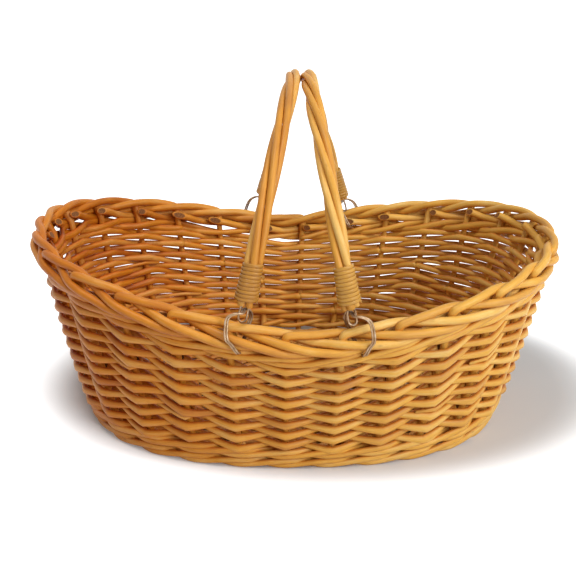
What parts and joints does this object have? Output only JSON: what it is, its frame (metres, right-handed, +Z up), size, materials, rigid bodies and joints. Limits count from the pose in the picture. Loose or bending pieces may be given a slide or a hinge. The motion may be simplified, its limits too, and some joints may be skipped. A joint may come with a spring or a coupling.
{
  "type": "wicker storage basket",
  "caption": "Oval open basket of woven willow with flared ends, a plaited rim and two hinged swing handles that meet over the middle.",
  "frame": {"origin": "under the middle of the base, on the surface that the basket rests on", "axes": "X runs along the basket's length, Y from its front side to its back side, +Z up"},
  "size_m": [0.4832, 0.3647, 0.3124],
  "materials": {
    "willow": "satin",
    "base_willow": "satin",
    "cane": "satin",
    "wire": "satin"
  },
  "bodies": {
    "basket": {"cross_sticks": "base_willow", "long_sticks": "base_willow", "base_mat": "base_willow", "upright_rods": "willow", "foot_wale_1": "willow", "foot_wale_2": "willow", "foot_wale_3": "willow", "foot_wale_4": "willow", "weaver_row_01": "willow", "weaver_row_02": "willow", "weaver_row_03": "willow", "weaver_row_04": "willow", "weaver_row_05": "willow", "weaver_row_06": "willow", "weaver_row_07": "willow", "weaver_row_08": "willow", "weaver_row_09": "willow", "weaver_row_10": "willow", "weaver_row_11": "willow", "weaver_row_12": "willow", "weaver_row_13": "willow", "weaver_row_14": "willow", "weaver_row_15": "willow", "weaver_row_16": "willow", "head_wale_1": "willow", "head_wale_2": "willow", "front_left_ring": "wire", "front_right_ring": "wire", "back_left_ring": "wire", "back_right_ring": "wire"},
    "left_handle": {"left_handle_rods": "willow", "front_left_binding": "cane", "back_left_binding": "cane", "front_left_eye": "wire", "back_left_eye": "wire"},
    "right_handle": {"right_handle_rods": "willow", "front_right_binding": "cane", "back_right_binding": "cane", "front_right_eye": "wire", "back_right_eye": "wire"}
  },
  "joints": [
    {"name": "left_handle_swing", "type": "hinge", "parent": "basket", "child": "left_handle", "pos_m": [-0.03845, 0.00356, 0.15], "axis": [-0.0837, -0.9965, 0], "range_deg": [0, 92]},
    {"name": "right_handle_swing", "type": "hinge", "parent": "basket", "child": "right_handle", "pos_m": [0.04625, -0.00356, 0.15], "axis": [0.0837, 0.9965, 0], "range_deg": [0, 93]}
  ]
}
